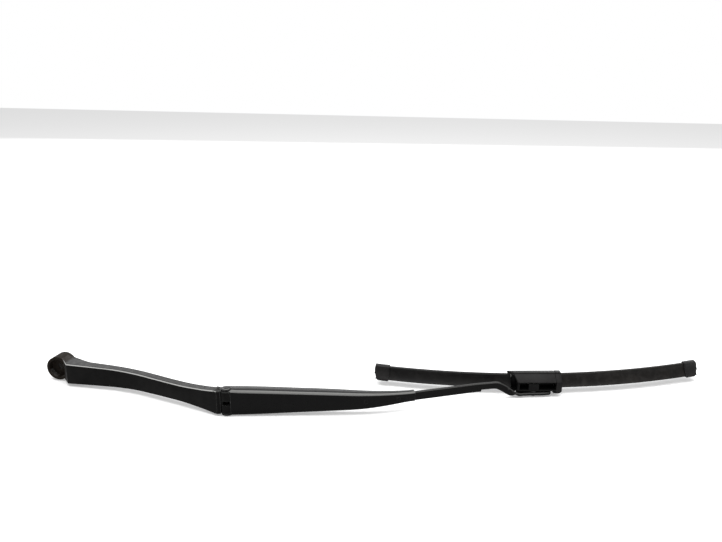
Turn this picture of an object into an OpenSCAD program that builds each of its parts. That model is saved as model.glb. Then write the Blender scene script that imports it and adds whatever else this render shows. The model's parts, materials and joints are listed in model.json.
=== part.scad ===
// Windscreen wiper arm with a side-pin beam blade, lying on its side as it rests when taken off a car.
// Millimetres. X runs from the spindle towards the blade, Y towards the glass, Z along the hinge pin.
// The origin is on the spindle axis, in the plane that the spindle nut seats on.

/* [Spindle boss] */
// Outer diameter of the boss
boss_d = 30; // [26:0.5:34]
// Height of the boss rim above the nut seat
rim_rise = 7; // [5:0.5:10]
// Depth of the boss below the nut seat
boss_drop = 13.5; // [12:0.5:15]
// Draft of the boss, from its rim to its far end
boss_draft = 0.9; // [0.6:0.1:1.2]
// Diameter of the recess round the nut
recess_d = 24; // [20:0.5:25]
// Diameter of the clearance hole for the spindle thread
stud_d = 8.4; // [6.4:0.1:10.5]
// Length of the clearance hole under the nut seat
stud_hole_l = 4; // [3:0.5:5]
// Diameter of the knurled taper socket at its mouth
taper_d = 12; // [11:0.1:13]
// Diameter of the raised ring that the nut bites on
seat_ring_d = 15; // [12:0.5:18]
// Height of that ring above the floor of the recess
seat_ring_h = 0.6; // [0.4:0.1:1]

/* [Die-cast head] */
// Height of the outer face above the nut seat at the boss
face_rise = 20.3; // [17:0.1:24]
// Where the ramp from the boss rim reaches the outer face
ramp_end_x = 20; // [18:0.5:26]
// Length of the ramp
ramp_l = 12.8; // [10:0.2:14]
// Straight part of the head after the ramp
head_straight = 48; // [40:1:60]
// Length of the bend in the head
head_bend_l = 60; // [50:1:80]
// Angle that the head bends outwards
head_bend = 16; // [12:0.5:20]
// Straight part from the bend to the hinge
head_reach = 112; // [100:1:130]
// Width of the head beside the boss
head_w_boss = 25.8; // [22:0.2:28]
// Width of the head at its waist
head_w_waist = 20.4; // [18:0.2:24]
// Depth of the head at its waist
head_depth = 12.8; // [11:0.2:15]
// Thickness of the side walls
head_wall = 2.6; // [2:0.1:3.2]
// Thickness of the outer web
head_web = 3; // [2.4:0.1:4]
// Overhang of the bead along both edges of the outer face
bead_over = 0.9; // [0.4:0.1:1.4]
// Height of that bead
bead_h = 2.2; // [1.6:0.1:3]
// Rounding of the bead
bead_r = 1.2; // [0.6:0.1:1.5]
// Number of cross ribs in the hollow side
rib_count = 4; // [2:1:6]
// Thickness of a cross rib
rib_t = 2; // [1.5:0.1:3]

/* [Hinge] */
// Depth of the hinge pin below the outer face of the head
hinge_depth = 10.4; // [9.6:0.1:11.5]
// Radius of the knuckle round the hinge pin
knuckle_r = 7.9; // [7.4:0.1:7.9]
// Width of the knuckle between the ears
knuckle_w = 26; // [25:0.2:26.4]
// Radius that ends the full-width head in front of the hinge
shoulder_r = 12.5; // [11:0.1:14]
// Width of the slot for the spring link
link_slot = 5.2; // [5:0.1:7]
// Diameter of the hinge pin
hinge_pin_d = 6; // [5:0.1:6.4]
// Diameter of the rivet heads on the hinge pin
hinge_head_d = 9; // [8:0.5:10]
// Height of those heads
hinge_head_h = 1; // [0.8:0.1:1.6]
// Wall of the hinge bushes
bush_wall = 1.1; // [0.8:0.1:1.3]
// Thickness of a bush flange
bush_flange = 0.7; // [0.5:0.1:0.8]

/* [Channel] */
// Sheet thickness of the channel
sheet = 1.6; // [1.2:0.1:2]
// Outer width of the channel at the hinge
channel_w = 31; // [30:0.2:33]
// Outer depth of the channel at the hinge
channel_depth = 13.5; // [12:0.1:15]
// Distance from the outer face of the channel to the hinge pin
hinge_inset = 7; // [6.8:0.1:7.4]
// Outside radius of the folds
fold_r = 3.4; // [2.6:0.1:4]
// Length of the channel from the hinge pin
channel_l = 216; // [200:1:230]
// Radius of the clearance round the knuckle at the start of the web
web_clear_r = 8.3; // [8.2:0.1:8.6]
// Angle of the channel from the X axis
arm_heading = 12.5; // [10:0.5:15]
// Straight part of the arm
arm_straight = 137; // [130:1:150]
// Length of the bend towards the glass
arm_bend_l = 58; // [45:1:70]
// Angle of that bend
arm_bend = 15; // [10:0.5:18]

/* [Flat bar] */
// Width of the bar
bar_w = 11; // [10:0.1:12]
// Thickness of the bar
bar_t = 3.6; // [3:0.1:4]
// Width of the bar beyond the notch
bar_neck_w = 8.6; // [8:0.1:9.5]
// Straight part of the bar after the arm's bend
bar_straight = 90; // [80:1:100]
// Angle that the bar turns back by
bar_back = 5.5; // [2:0.5:8]
// Distance from the arm's bend to the notch
notch_at = 104; // [98:1:110]
// Where the sideways step of the bar starts, from the arm's bend
jog_at = 120; // [114:1:124]
// Length of the sideways step
jog_l = 28; // [24:1:34]
// Offset of the sideways step
jog = 12.5; // [11.5:0.1:14]
// Distance from the arm's bend to the side pin
side_pin_at = 169; // [165:1:175]
// Length of the quarter twist before the lug
twist_l = 14; // [10:1:16]
// Distance from the end of the twist to the side pin
twist_at = 17; // [16:0.5:18]
// Length of the lug beyond the side pin
lug_l = 21; // [14:0.5:22]
// Width of the lug at its end
lug_w = 15; // [9:0.5:16]

/* [Side pin] */
// Diameter of the side pin
side_pin_d = 5; // [4.4:0.1:5.4]
// Diameter of the riveted end in the lug
tenon_d = 4; // [3:0.1:4.2]
// Diameter of the collar and of the riveted head
collar_d = 8; // [7:0.1:9]
// Height of the riveted head
tenon_head = 1.2; // [1:0.1:1.6]
// Height of the pin's tip above the middle of the arm
side_pin_tip = 1.6; // [1:0.1:2]

/* [Spring and link] */
// Wire diameter of the tension spring
wire_d = 2; // [1.6:0.1:2.2]
// Mean coil radius of the spring
coil_r = 4.1; // [3.6:0.1:4.3]
// Number of coils
coils = 28; // [20:1:30]
// Pitch of the coils
coil_pitch = 2.9; // [2.6:0.1:3.1]
// Distance from the hinge to the first coil
spring_at = 30; // [26:1:34]
// Distance of the anchor pin behind the hinge pin
anchor_back = 7; // [6.6:0.1:7.4]
// Distance of the anchor pin from the hinge pin towards the glass
anchor_side = 4; // [3.8:0.1:4.4]
// Diameter of the anchor pin
anchor_d = 5; // [4:0.1:5.2]
// Thickness of the link across the arm
link_w = 4; // [3:0.1:4.4]
// Width of the link's bent strip
link_strip = 2.8; // [2.4:0.1:3]
// Angle that the arm lifts by
lift = 80; // [60:1:85]

/* [Blade] */
// Length of the blade from the side pin to its left end
blade_left = 190; // [170:1:210]
// Length of the blade from the side pin to its right end
blade_right = 216; // [195:1:240]
// Radius of the blade's free bow
bow_r = 645; // [550:5:800]
// Angle of the blade from the X axis as it lies
blade_heading = 12; // [8:0.5:14]
// Distance from the side pin to the steel rails
rail_v = 12; // [11.6:0.1:12.6]
// Offset of the blade from the middle of the arm
blade_drop = 1.5; // [1:0.1:2]
// Width of the blade
blade_w = 16; // [15:0.2:17]
// Height of the spoiler above the rails
spoiler_h = 8.4; // [7:0.1:9]
// Width of one steel rail
rail_w = 4.7; // [4:0.1:5]
// Thickness of the steel rails
rail_t = 1; // [0.7:0.05:1.1]
// Gap between the two rails
rail_gap = 3; // [2.6:0.1:3.4]
// Depth of the wiping lip below the rails
lip_depth = 10; // [9:0.1:12]
// Length of an end cap
cap_l = 18; // [16:0.5:22]
// Wall of an end cap
cap_wall = 1; // [0.8:0.1:1.4]

/* [Connector] */
// Length of the connector towards the hinge
connector_back = 30.3; // [29:0.1:33]
// Length of the connector beyond the side pin
connector_front = 33.6; // [33:0.1:36]
// Length of the end frame
frame_l = 7; // [6:0.1:7.4]
// Depth of the end frame below the middle of the arm
frame_drop = 12.8; // [12.4:0.1:14]
// Radius of the end frame's lower corner
frame_round = 6.5; // [4:0.1:8]
// Height of the cover's edge above the middle of the arm
cover_top = 10.5; // [10:0.1:11.5]
// Wall of the cover
cover_wall = 1.7; // [1.4:0.1:2]
// Half length of the tower round the side pin
tower_l = 6; // [5.5:0.1:8]
// Wall of the tray round the tower
tray_wall = 1.5; // [1.2:0.1:1.8]
// Wall of the pin bush
pin_bush_wall = 1; // [0.8:0.1:1.3]

/* [Fits] */
// Radial running clearance of pins in bushes
run_gap = 0.05; // [0.02:0.01:0.08]
// Clearance between parts that slide past or seat on each other
seat_gap = 0.15; // [0.1:0.01:0.2]

/* [Hidden] */
$fn = 64;
e = 0.02;
arc_n = 3;
fine_fn = 1440;

head_start = [ramp_end_x, -face_rise, 0];
head_legs = [[head_straight, 0], [head_bend_l, -head_bend], [head_reach, 0]];
head_len = head_straight + head_bend_l + head_reach;
head_end = pose(head_legs, head_start, head_len);
hinge = off(head_end, hinge_depth);

arm_start = [hinge[0] + hinge_inset * sin(arm_heading), hinge[1] - hinge_inset * cos(arm_heading), arm_heading];
arm_legs = [[arm_straight, 0], [arm_bend_l, arm_bend], [bar_straight, 0], [14, -bar_back], [100, 0]];
bend_end = arm_straight + arm_bend_l;
bar_mid = sheet + bar_t / 2;
bar_edge = 1;
shared_s = [for (i = [0:16]) arm_straight + (channel_l - arm_straight) * i / 16];
pin_s = bend_end + side_pin_at;
pin_xy = off(pose(arm_legs, arm_start, pin_s), bar_mid);

spring_n = hinge_inset + 0.9;
hook_r = coil_r;
spring_len = coils * coil_pitch;
spring_far = spring_at + spring_len;
near_loop = spring_at + coil_pitch / 4;
far_loop = spring_far - 0.3;
hook_s = near_loop - hook_r;
eye_s = far_loop + hook_r;
root_s = eye_s - 3.4;
anchor = [hinge[0] - anchor_back, hinge[1] + anchor_side];
hook_xy = off(pose(arm_legs, arm_start, hook_s), spring_n);
link_l = norm(hook_xy - anchor);
link_heading = heading(hook_xy - anchor);
link_turn = link_heading - heading(turned(hook_xy - hinge, -lift) + hinge - anchor);

slot_at = -1;
ear_out = channel_w / 2;
ear_in = ear_out - sheet;
bush_bore = hinge_pin_d / 2 + run_gap;
bush_out = bush_bore + bush_wall;
lug_top = -jog + bar_t / 2;
lug_low = -jog - bar_t / 2;

half_w = blade_w / 2;
rail_in = rail_gap / 2;
rail_out = rail_in + rail_w;
rail_half = rail_t / 2;
pin_bore_r = side_pin_d / 2 + run_gap;
pin_bush_r = pin_bore_r + pin_bush_wall;
tower_low = lug_top + 1.8;
frame_back = connector_front - frame_l;
link_half = link_w / 2;

// Angle of a vector from the X axis, and a vector turned by an angle
function heading(v) = atan2(v[1], v[0]);
function turned(v, a) = [v[0] * cos(a) - v[1] * sin(a), v[0] * sin(a) + v[1] * cos(a)];

// Pose [x, y, heading] after distance d along a leg of length l that turns by t degrees
function along(p, l, t, d) =
    abs(t) < 0.01
    ? [p[0] + d * cos(p[2]), p[1] + d * sin(p[2]), p[2]]
    : let (r = l / t * 180 / PI, a = t * d / l)
      [p[0] + r * (sin(p[2] + a) - sin(p[2])), p[1] - r * (cos(p[2] + a) - cos(p[2])), p[2] + a];

// Pose at distance d along a path of legs [length, turn]
function pose(legs, at, d, i = 0) =
    i == len(legs) - 1 || d <= legs[i][0]
    ? along(at, legs[i][0], legs[i][1], d)
    : pose(legs, along(at, legs[i][0], legs[i][1], legs[i][0]), d - legs[i][0], i + 1);

// Point at distance n from a pose, towards the glass
function off(p, n) = [p[0] - n * sin(p[2]), p[1] + n * cos(p[2])];

// Smooth curve through a table of rows [place, value], flat at both ends
function rise(t, i) =
    i == 0 || i == len(t) - 1 ? 0 : (t[i + 1][1] - t[i - 1][1]) / (t[i + 1][0] - t[i - 1][0]);
function row(t, x, i = 0) = i >= len(t) - 2 || x < t[i + 1][0] ? i : row(t, x, i + 1);
function smooth(t, x) =
    let (i = row(t, x), w = t[i + 1][0] - t[i][0], u = min(max((x - t[i][0]) / w, 0), 1), v = 1 - u)
    t[i][1] * (1 + 2 * u) * v * v + t[i + 1][1] * u * u * (3 - 2 * u)
    + rise(t, i) * w * u * v * v - rise(t, i + 1) * w * u * u * v;

// Smooth step from 0 to 1 between a and b, and its slope
function ease(x, a, b) = let (u = min(max((x - a) / (b - a), 0), 1)) u * u * (3 - 2 * u);
function ease_slope(x, a, b) = let (u = min(max((x - a) / (b - a), 0), 1)) 6 * u * (1 - u) / (b - a);

// Places section points [towards the glass, up] on a path's pose
function place(p, pts) = [for (q = pts) [p[0] - q[0] * sin(p[2]), p[1] + q[0] * cos(p[2]), q[1]]];

// Arc of section points round a centre
function arc(c, r, a, b, n) = [for (i = [0:n]) c + r * [cos(a + (b - a) * i / n), sin(a + (b - a) * i / n)]];

// Closed solid through a list of rings with the same number of points
module skin(rings) {
    n = len(rings[0]);
    last = (len(rings) - 1) * n;
    polyhedron(
        points = [for (r = rings) each r],
        faces = concat(
            [[for (j = [0:n - 1]) j]],
            [for (i = [0:len(rings) - 2], j = [0:n - 1])
                let (a = i * n + j, b = i * n + (j + 1) % n)
                each [[a, b + n, b], [a, a + n, b + n]]],
            [[for (j = [n - 1:-1:0]) last + j]]
        )
    );
}

// Upright cylinder between two heights at a point of the plan
module post(at, r, low, high) {
    translate([at[0], at[1], low]) cylinder(r = r, h = high - low);
}

// Cylinder along the spindle axis between two heights
module spindle_cylinder(r1, r2, from, to) {
    translate([0, from, 0]) rotate([-90, 0, 0]) cylinder(r1 = r1, r2 = r2, h = to - from);
}

// Puts children in the frame of a pose, with X along it and Y towards the glass
module at_pose(p) {
    translate([p[0], p[1], 0]) rotate([0, 0, p[2]]) children();
}

// Frame of the blade: the side pin is its origin
module blade_frame() {
    at_pose([pin_xy[0], pin_xy[1], blade_heading]) children();
}

// Revolves a section [height above the rails, up] along the bow between two places
module bowed(from, to) {
    sweep = (to - from) / bow_r * 180 / PI;
    blade_frame()
    translate([0, rail_v + bow_r, -blade_drop])
    rotate([0, 0, -90 + from / bow_r * 180 / PI])
    rotate_extrude(angle = sweep, $fn = fine_fn)
    translate([bow_r, 0]) children();
}

// Head: distance from the face line to the outer surface, to the open side, and half the width
function head_top(s) = (face_rise - rim_rise + 0.5) * min(max(-s / ramp_l, 0), 1);
head_side = [[-ramp_end_x, face_rise + 8], [0, 24], [15, 18], [26, 15], [70, head_depth],
    [170, head_depth - 0.4], [head_len, head_depth]];
head_half = [[-ramp_end_x, boss_d / 2 - 1], [0, head_w_boss / 2], [45, head_w_boss / 2 - 0.8],
    [100, head_w_waist / 2 + 0.5], [160, head_w_waist / 2], [190, head_w_waist / 2 + 1.8],
    [head_len - 4, ear_out - 1]];
head_stations = concat([-ramp_end_x, -ramp_l, -ramp_l / 2],
    [for (s = [0:8:head_len - 4]) s], [head_len]);

function head_ring(s) =
    let (t = head_top(s), b = smooth(head_side, s), h = smooth(head_half, s), w = h - bead_over)
    place(pose(head_legs, head_start, s), concat(
        [[b, -w], [b, w], [t + bead_h + 0.6, w], [t + bead_h, h]],
        arc([t + bead_r, h - bead_r], bead_r, 90, 180, arc_n),
        arc([t + bead_r, bead_r - h], bead_r, 180, 270, arc_n),
        [[t + bead_h, -h], [t + bead_h + 0.6, -w]]
    ));

function hollow_ring(s) =
    let (b = smooth(head_side, s) + 1, w = smooth(head_half, s) - bead_over - head_wall)
    place(pose(head_legs, head_start, s), [[b, -w], [b, w], [head_web, w - 1], [head_web, 1 - w]]);

module head_ribs() {
    for (i = [1:rib_count]) {
        s = i * 184 / (rib_count + 1);
        w = smooth(head_half, s) - bead_over - head_wall / 2;
        at_pose(pose(head_legs, head_start, s))
            translate([-rib_t / 2, head_web / 2, -w])
            cube([rib_t, head_depth - head_web / 2 - 3.4, 2 * w]);
    }
}

module arm_head() {
    color([0.09, 0.09, 0.1])
    difference() {
        union() {
            difference() {
                skin([for (s = head_stations) head_ring(s)]);
                skin([for (s = concat([5], [for (s = [8:8:196]) s], [198])) hollow_ring(s)]);
                post(hinge, shoulder_r, -ear_out - 2, ear_out + 2);
            }
            head_ribs();
            spindle_cylinder(boss_d / 2, boss_d / 2 - boss_draft, -rim_rise, boss_drop);
            at_pose([hinge[0], hinge[1], -head_bend])
                translate([0, 0, -knuckle_w / 2])
                linear_extrude(knuckle_w) {
                    circle(r = knuckle_r);
                    polygon([[-16, -knuckle_r - 1.7], [-3.4, 0.6 - knuckle_r], [-1, 0.3 - knuckle_r], [0, 0], [0, 4], [-16, 4]]);
                }
        }
        // Nut recess, stud hole and taper socket
        difference() {
            spindle_cylinder(recess_d / 2, recess_d / 2, -face_rise - 1, seat_ring_h);
            spindle_cylinder(seat_ring_d / 2, seat_ring_d / 2, 0, seat_ring_h + 1);
        }
        spindle_cylinder(stud_d / 2, stud_d / 2, -1, stud_hole_l + e);
        spindle_cylinder(taper_d / 2 - 1, taper_d / 2, stud_hole_l, boss_drop + e);
        // Slot for the link, open towards the glass and towards the channel
        at_pose([hinge[0], hinge[1], -head_bend]) {
            translate([slot_at, -knuckle_r - 2, -link_slot / 2]) cube([20, 30, link_slot]);
            translate([-34, -3.2, -link_slot / 2]) cube([40, 30, link_slot]);
        }
        post(hinge, bush_out, -ear_out, ear_out);
        post(anchor, anchor_d / 2, -knuckle_w / 2 + 2, knuckle_w / 2 + 2);
    }
}

// Bush between a lug of the knuckle and the hinge pin, with its flange against the ear
module hinge_bush(side) {
    color([0.75, 0.72, 0.62])
    translate([hinge[0], hinge[1], 0]) mirror([0, 0, side > 0 ? 0 : 1])
    difference() {
        union() {
            translate([0, 0, link_slot / 2]) cylinder(r = bush_out, h = knuckle_w / 2 - link_slot / 2);
            translate([0, 0, knuckle_w / 2]) cylinder(r = knuckle_r - 0.6, h = bush_flange);
        }
        translate([0, 0, -1]) cylinder(r = bush_bore, h = knuckle_w);
    }
}

module hinge_bush_upper() { hinge_bush(1); }

module hinge_bush_lower() { hinge_bush(-1); }

module spring_anchor_pin() {
    color([0.6, 0.6, 0.62])
    post(anchor, anchor_d / 2, -knuckle_w / 2 + 2, knuckle_w / 2);
}

// Rivet pin through both ears
module hinge_pin() {
    tip = ear_out + hinge_head_h;
    color([0.12, 0.12, 0.13])
    translate([hinge[0], hinge[1], 0])
    rotate_extrude()
    polygon([[0, -tip], [hinge_head_d / 2 - 0.6, -tip], [hinge_head_d / 2, -ear_out - 0.3],
        [hinge_head_d / 2, -ear_out], [hinge_pin_d / 2, -ear_out], [hinge_pin_d / 2, ear_out],
        [hinge_head_d / 2, ear_out], [hinge_head_d / 2, ear_out + 0.3], [hinge_head_d / 2 - 0.6, tip], [0, tip]]);
}

// Channel: half width and depth along the arm
channel_end_half = bar_w / 2 + sheet;
channel_half = [[0, ear_out], [34, ear_out - 0.6], [80, 13], [130, 11.2], [185, 8.4], [channel_l, channel_end_half]];
channel_side = [[0, channel_depth], [110, channel_depth - 1], [180, 8.6], [channel_l, sheet + bar_t + 1.2]];

// The fold tightens until it fits the edge of the bar
function fold(s) = fold_r + (sheet + bar_edge - fold_r) * ease(s, arm_straight, channel_l - 30);

function channel_ring(s, gap, extra) =
    let (w = smooth(channel_half, s) - gap, d = smooth(channel_side, s) + extra, r = fold(s) - gap)
    place(pose(arm_legs, arm_start, s), concat(
        [[d, -w], [d, w]],
        arc([gap + r, w - r], r, 90, 180, 4),
        arc([gap + r, r - w], r, 180, 270, 4)
    ));

module arm_channel() {
    steps = concat([0, 3, 6], [for (s = [12:9:arm_straight - 4]) s], shared_s);
    color([0.06, 0.06, 0.07])
    difference() {
        union() {
            difference() {
                skin([for (s = steps) channel_ring(s, 0, 0)]);
                skin([for (s = concat([-2], steps, [channel_l + 2])) channel_ring(s, sheet, 2)]);
            }
            for (m = [0, 1]) mirror([0, 0, m]) post(hinge, hinge_inset, ear_in, ear_out);
        }
        post(hinge, web_clear_r, -ear_in, ear_in);
        post(hinge, hinge_pin_d / 2, -ear_out - 1, ear_out + 1);
        rivet_shanks(1, 1);
    }
}

// Flat bar: distance from the face line, sideways offset, width and twist along the arm
function bar_n(s) = spring_n + (bar_mid - spring_n) * ease(s, root_s + 8, arm_straight);
function bar_z(s) = -jog * ease(s, bend_end + jog_at, bend_end + jog_at + jog_l)
    + (bar_w - bar_neck_w) / 2 * ease(s, bend_end + notch_at - 0.4, bend_end + notch_at);
function bar_turn(s) = 90 * ease(s, pin_s - twist_at - twist_l, pin_s - twist_at);
function bar_slope(s) = atan(jog * ease_slope(s, bend_end + jog_at, bend_end + jog_at + jog_l));
lug_round = 4;
function end_trim(s, r) = let (d = pin_s + lug_l - s) d < r ? 1 - (r - sqrt(max(r * r - (r - d) * (r - d), 0))) * 2 / lug_w : 1;
function bar_width(s) =
    (bar_w + (bar_neck_w - bar_w) * ease(s, bend_end + notch_at - 0.4, bend_end + notch_at)
    + (lug_w - bar_neck_w) * ease(s, pin_s - 14, pin_s + 14))
    * end_trim(s, lug_round) / cos(bar_slope(s)) - (s < root_s + 3 ? root_s + 3 - s : 0);

function bar_ring(s) =
    let (w = bar_width(s) / 2, t = bar_t / 2, c = bar_edge, a = bar_turn(s),
         drop = bar_z(s) + (bar_w - bar_neck_w) / -2 * a / 90,
         pts = [[t, c - w], [t, w - c], [t - c, w], [c - t, w], [-t, w - c], [-t, c - w], [c - t, -w], [t - c, -w]])
    place(pose(arm_legs, arm_start, s),
        [for (q = pts) [bar_n(s) + q[0] * cos(a) - q[1] * sin(a), drop + q[0] * sin(a) + q[1] * cos(a)]]);

// Holes or shanks of the two rivets that hold the bar in the channel
rivet_s = [channel_l - 58, channel_l - 20];
rivet_r = 2.2;
module rivet_shanks(low, high) {
    for (s = rivet_s) at_pose(pose(arm_legs, arm_start, s))
        translate([0, -low, 0]) rotate([-90, 0, 0]) cylinder(r = rivet_r, h = low + sheet + bar_t + high);
}

module arm_bar() {
    steps = concat([root_s, root_s + 1.5, root_s + 3], [for (s = [root_s + 8:3:arm_straight - 1]) s], shared_s,
        [for (s = [channel_l + 8:9:bend_end + notch_at - 2]) s],
        [bend_end + notch_at - 0.4, bend_end + notch_at],
        [for (s = [bend_end + jog_at:2:pin_s - 6]) s],
        [for (s = [pin_s - 4:4:pin_s + 12]) s], [for (i = [0:5]) pin_s + lug_l - lug_round * (1 - sin(i * 18))]);
    color([0.05, 0.05, 0.055])
    difference() {
        skin([for (s = steps) bar_ring(s)]);
        at_pose(pose(arm_legs, arm_start, eye_s))
            translate([0, spring_n - bar_t, 0]) rotate([-90, 0, 0]) cylinder(r = wire_d / 2 + 0.6, h = 2 * bar_t);
        post(pin_xy, tenon_d / 2, lug_low - 1, lug_top + 1);
        rivet_shanks(1, 1);
    }
}

// Rivets: flush outside, round heads inside
module bar_rivets() {
    color([0.1, 0.1, 0.1]) {
        rivet_shanks(0, 1);
        for (s = rivet_s) at_pose(pose(arm_legs, arm_start, s))
            translate([0, sheet + bar_t + 0.05, 0])
            rotate([-90, 0, 0]) cylinder(r1 = rivet_r + 1.6, r2 = rivet_r, h = 1.4);
    }
}

module side_pin() {
    r = side_pin_d / 2;
    low = lug_low - tenon_head;
    color([0.5, 0.5, 0.52])
    translate([pin_xy[0], pin_xy[1], 0])
    rotate_extrude()
    polygon([[0, low], [collar_d / 2 - 0.7, low], [collar_d / 2, lug_low - 0.3], [collar_d / 2, lug_low],
        [tenon_d / 2, lug_low], [tenon_d / 2, lug_top], [collar_d / 2, lug_top], [collar_d / 2, tower_low - 0.5],
        [r, tower_low - 0.5], [r, side_pin_tip - 3], [r - 0.7, side_pin_tip - 3], [r - 0.7, side_pin_tip - 1.8],
        [r, side_pin_tip - 1.8], [r, side_pin_tip - 0.7], [r - 0.7, side_pin_tip], [0, side_pin_tip]]);
}

// Ring of the spring wire at angle a round the coil
function wire_ring(a, n) =
    let (c = [spring_at + coil_pitch * a / 360, spring_n + coil_r * cos(a), coil_r * sin(a)])
    [for (i = [0:n - 1])
        let (b = 360 * i / n, q = wire_d / 2 * cos(b))
        [c[0] - wire_d / 2 * sin(b), c[1] + q * cos(a), c[2] + q * sin(a)]];

module spring_hook(at, turn, roll) {
    translate([at, spring_n, 0]) rotate([roll, 0, 0]) rotate([0, 0, turn])
    rotate_extrude(angle = 180, $fn = 48) translate([hook_r, 0]) circle(r = wire_d / 2, $fn = 16);
}

module tension_spring() {
    color([0.35, 0.35, 0.37])
    at_pose(arm_start) {
        skin([for (a = [0:36:360 * coils]) wire_ring(a, 6)]);
        spring_hook(near_loop, 90, 90);
        spring_hook(far_loop, -90, 0);
    }
}

// Part of a flat ring between two radii and two angles
module sector(inner, outer, from, to) {
    intersection() {
        difference() {
            circle(r = outer);
            circle(r = inner);
        }
        polygon(concat([[0, 0]], arc([0, 0], 2 * outer, from, to, 8)));
    }
}

// Bent strip between the anchor pin and the spring, with a throat that the hinge pin moves into
module spring_link() {
    reach = norm(hinge - anchor);
    pin_from = heading(hinge - anchor) - link_heading;
    pin_to = pin_from + link_turn;
    throat = hinge_pin_d / 2 + 0.6;
    back = reach + throat;
    color([0.45, 0.45, 0.47])
    at_pose([anchor[0], anchor[1], link_heading])
    translate([0, 0, -link_half])
    linear_extrude(link_w)
    difference() {
        union() {
            circle(r = anchor_d / 2 + 1.8);
            rotate(pin_to) translate([reach, 0]) circle(r = throat + link_strip);
            sector(reach / 2, back + link_strip, -8, pin_to);
            polygon([[back, -1.8], [link_l, -2.2], [link_l, 2.2], [back + 1, 4]]);
            translate([link_l, 0]) circle(r = 3.4);
        }
        circle(r = anchor_d / 2 + run_gap);
        sector(reach - throat, back, pin_from - 30, pin_to);
        rotate(pin_to) translate([reach, 0]) circle(r = throat);
        translate([link_l, 0]) circle(r = wire_d / 2 + 0.8);
    }
}

// Spoiler contour from the leading edge to the tip
function spoiler_curve(grow) = [for (i = [0:10])
    let (z = half_w - 1 - i * (2 * half_w - 3.2) / 10, u = i / 10)
    [2 + grow + (spoiler_h - 2.4) * pow(u, 2.1), z + grow * (1 - u)]];

// Outer section of the blade, grown by a wall
module blade_outline(grow) {
    polygon(concat(
        [[-2 - grow, half_w + grow], [0.8, half_w + grow]],
        spoiler_curve(grow),
        [[spoiler_h + grow, 2 - half_w - grow * 0.4], [spoiler_h + grow, 1.2 - half_w - grow],
         [spoiler_h - 1.6, 1.1 - half_w - grow], [2, 0.2 - half_w - grow], [-2 - grow, -half_w - grow]]
    ));
}

module spoiler_section() {
    slot = rail_out + seat_gap;
    difference() {
        blade_outline(0);
        translate([-rail_half - 0.1, -slot]) square([rail_t + 0.2, 2 * slot]);
        translate([0, -3.4]) square([1.7, 6.8]);
        translate([-4, -3.5]) square([4, 7]);
    }
}

module rubber_section() {
    side = [[1.55, 0], [1.55, 3.2], [rail_half + 0.15, 3.2], [rail_half + 0.15, rail_in - 0.15],
        [-rail_half - 0.15, rail_in - 0.15], [-rail_half - 0.15, 3.3], [-2, 3.3], [-2.3, 1], [-3, 1], [-3.3, 2.5],
        [-4.3, 2.1], [-4.6, 0.5], [-5.3, 0.5], [-5.7, 1.5], [-6.4, 1.4], [-lip_depth + 1, 0.4], [-lip_depth, 0.35],
        [-lip_depth, 0]];
    polygon(concat(side, [for (i = [len(side) - 2:-1:1]) [side[i][0], -side[i][1]]]));
}

spoiler_in = 25.2;
cap_play = cap_wall + 1;

module spoiler_left() {
    color([0.05, 0.05, 0.05]) bowed(cap_play - blade_left, -spoiler_in) spoiler_section();
}

module spoiler_right() {
    color([0.06, 0.06, 0.055]) bowed(frame_back + 1.5, blade_right - cap_play) spoiler_section();
}

module rail_upper() {
    color([0.5, 0.5, 0.52])
    bowed(cap_play - blade_left, blade_right - cap_play) translate([-rail_half, rail_in]) square([rail_t, rail_w]);
}

module rail_lower() {
    color([0.5, 0.5, 0.52])
    bowed(cap_play - blade_left, blade_right - cap_play) translate([-rail_half, -rail_out]) square([rail_t, rail_w]);
}

module wiper_rubber() {
    color([0.04, 0.04, 0.04]) bowed(cap_wall - blade_left, blade_right - cap_wall) rubber_section();
}

// End cap: a pocket over the blade's end with rounded outer corners
module end_cap(side, end) {
    inner = end - cap_l;
    color([0.1, 0.1, 0.1])
    difference() {
        if (side > 0) bowed(inner, end) blade_outline(cap_wall);
        else bowed(-end, -inner) blade_outline(cap_wall);
        if (side > 0) bowed(inner - 1, end - cap_wall) pocket_section();
        else bowed(cap_wall - end, 1 - inner) pocket_section();
        // Rounded corners: a large one below, a small one above
        blade_frame() mirror([side > 0 ? 0 : 1, 0, 0]) {
            corner_cut(end, 8, -1);
            corner_cut(end, 3.2, 1);
        }
    }
}

module pocket_section() {
    blade_outline(seat_gap);
    translate([-4, -3.5]) square([4, 7]);
}

// Removes the outside of a rounded corner at the tip of a cap
module corner_cut(end, r, side) {
    tip_u = bow_r * sin(end / bow_r * 180 / PI) + 0.6;
    edge = -blade_drop + side * (half_w + cap_wall + 0.3);
    translate([tip_u - r, 0, edge - side * r])
    rotate([90, 0, 0])
    translate([0, 0, -80])
    linear_extrude(120)
    difference() {
        translate([0, side > 0 ? 0 : -r - 4]) square([r + 6, r + 4]);
        circle(r = r);
    }
}

module end_cap_left() { end_cap(-1, blade_left); }

module end_cap_right() { end_cap(1, blade_right); }

// Roof line of the cover: front edge, and the step below its side wall
roof_low = [-3.4, 2.7];
roof_high = [5.8, cover_top - 1.6];
tower_v = -4.4;
tray_back = 18.5;
under_low = [roof_low[0] + 0.6, roof_low[1] - cover_wall - 0.1];
under_high = [roof_high[0] + 0.8, roof_high[1] - cover_wall - 0.1];
side_back = 13;
seat_v = rail_v - 2;
carrier_top = cover_top - cover_wall - seat_gap;

function under_roof(v, gap) = under_low[1] - gap
    + (v - under_low[0]) * (under_high[1] - under_low[1]) / (under_high[0] - under_low[0]);

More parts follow.
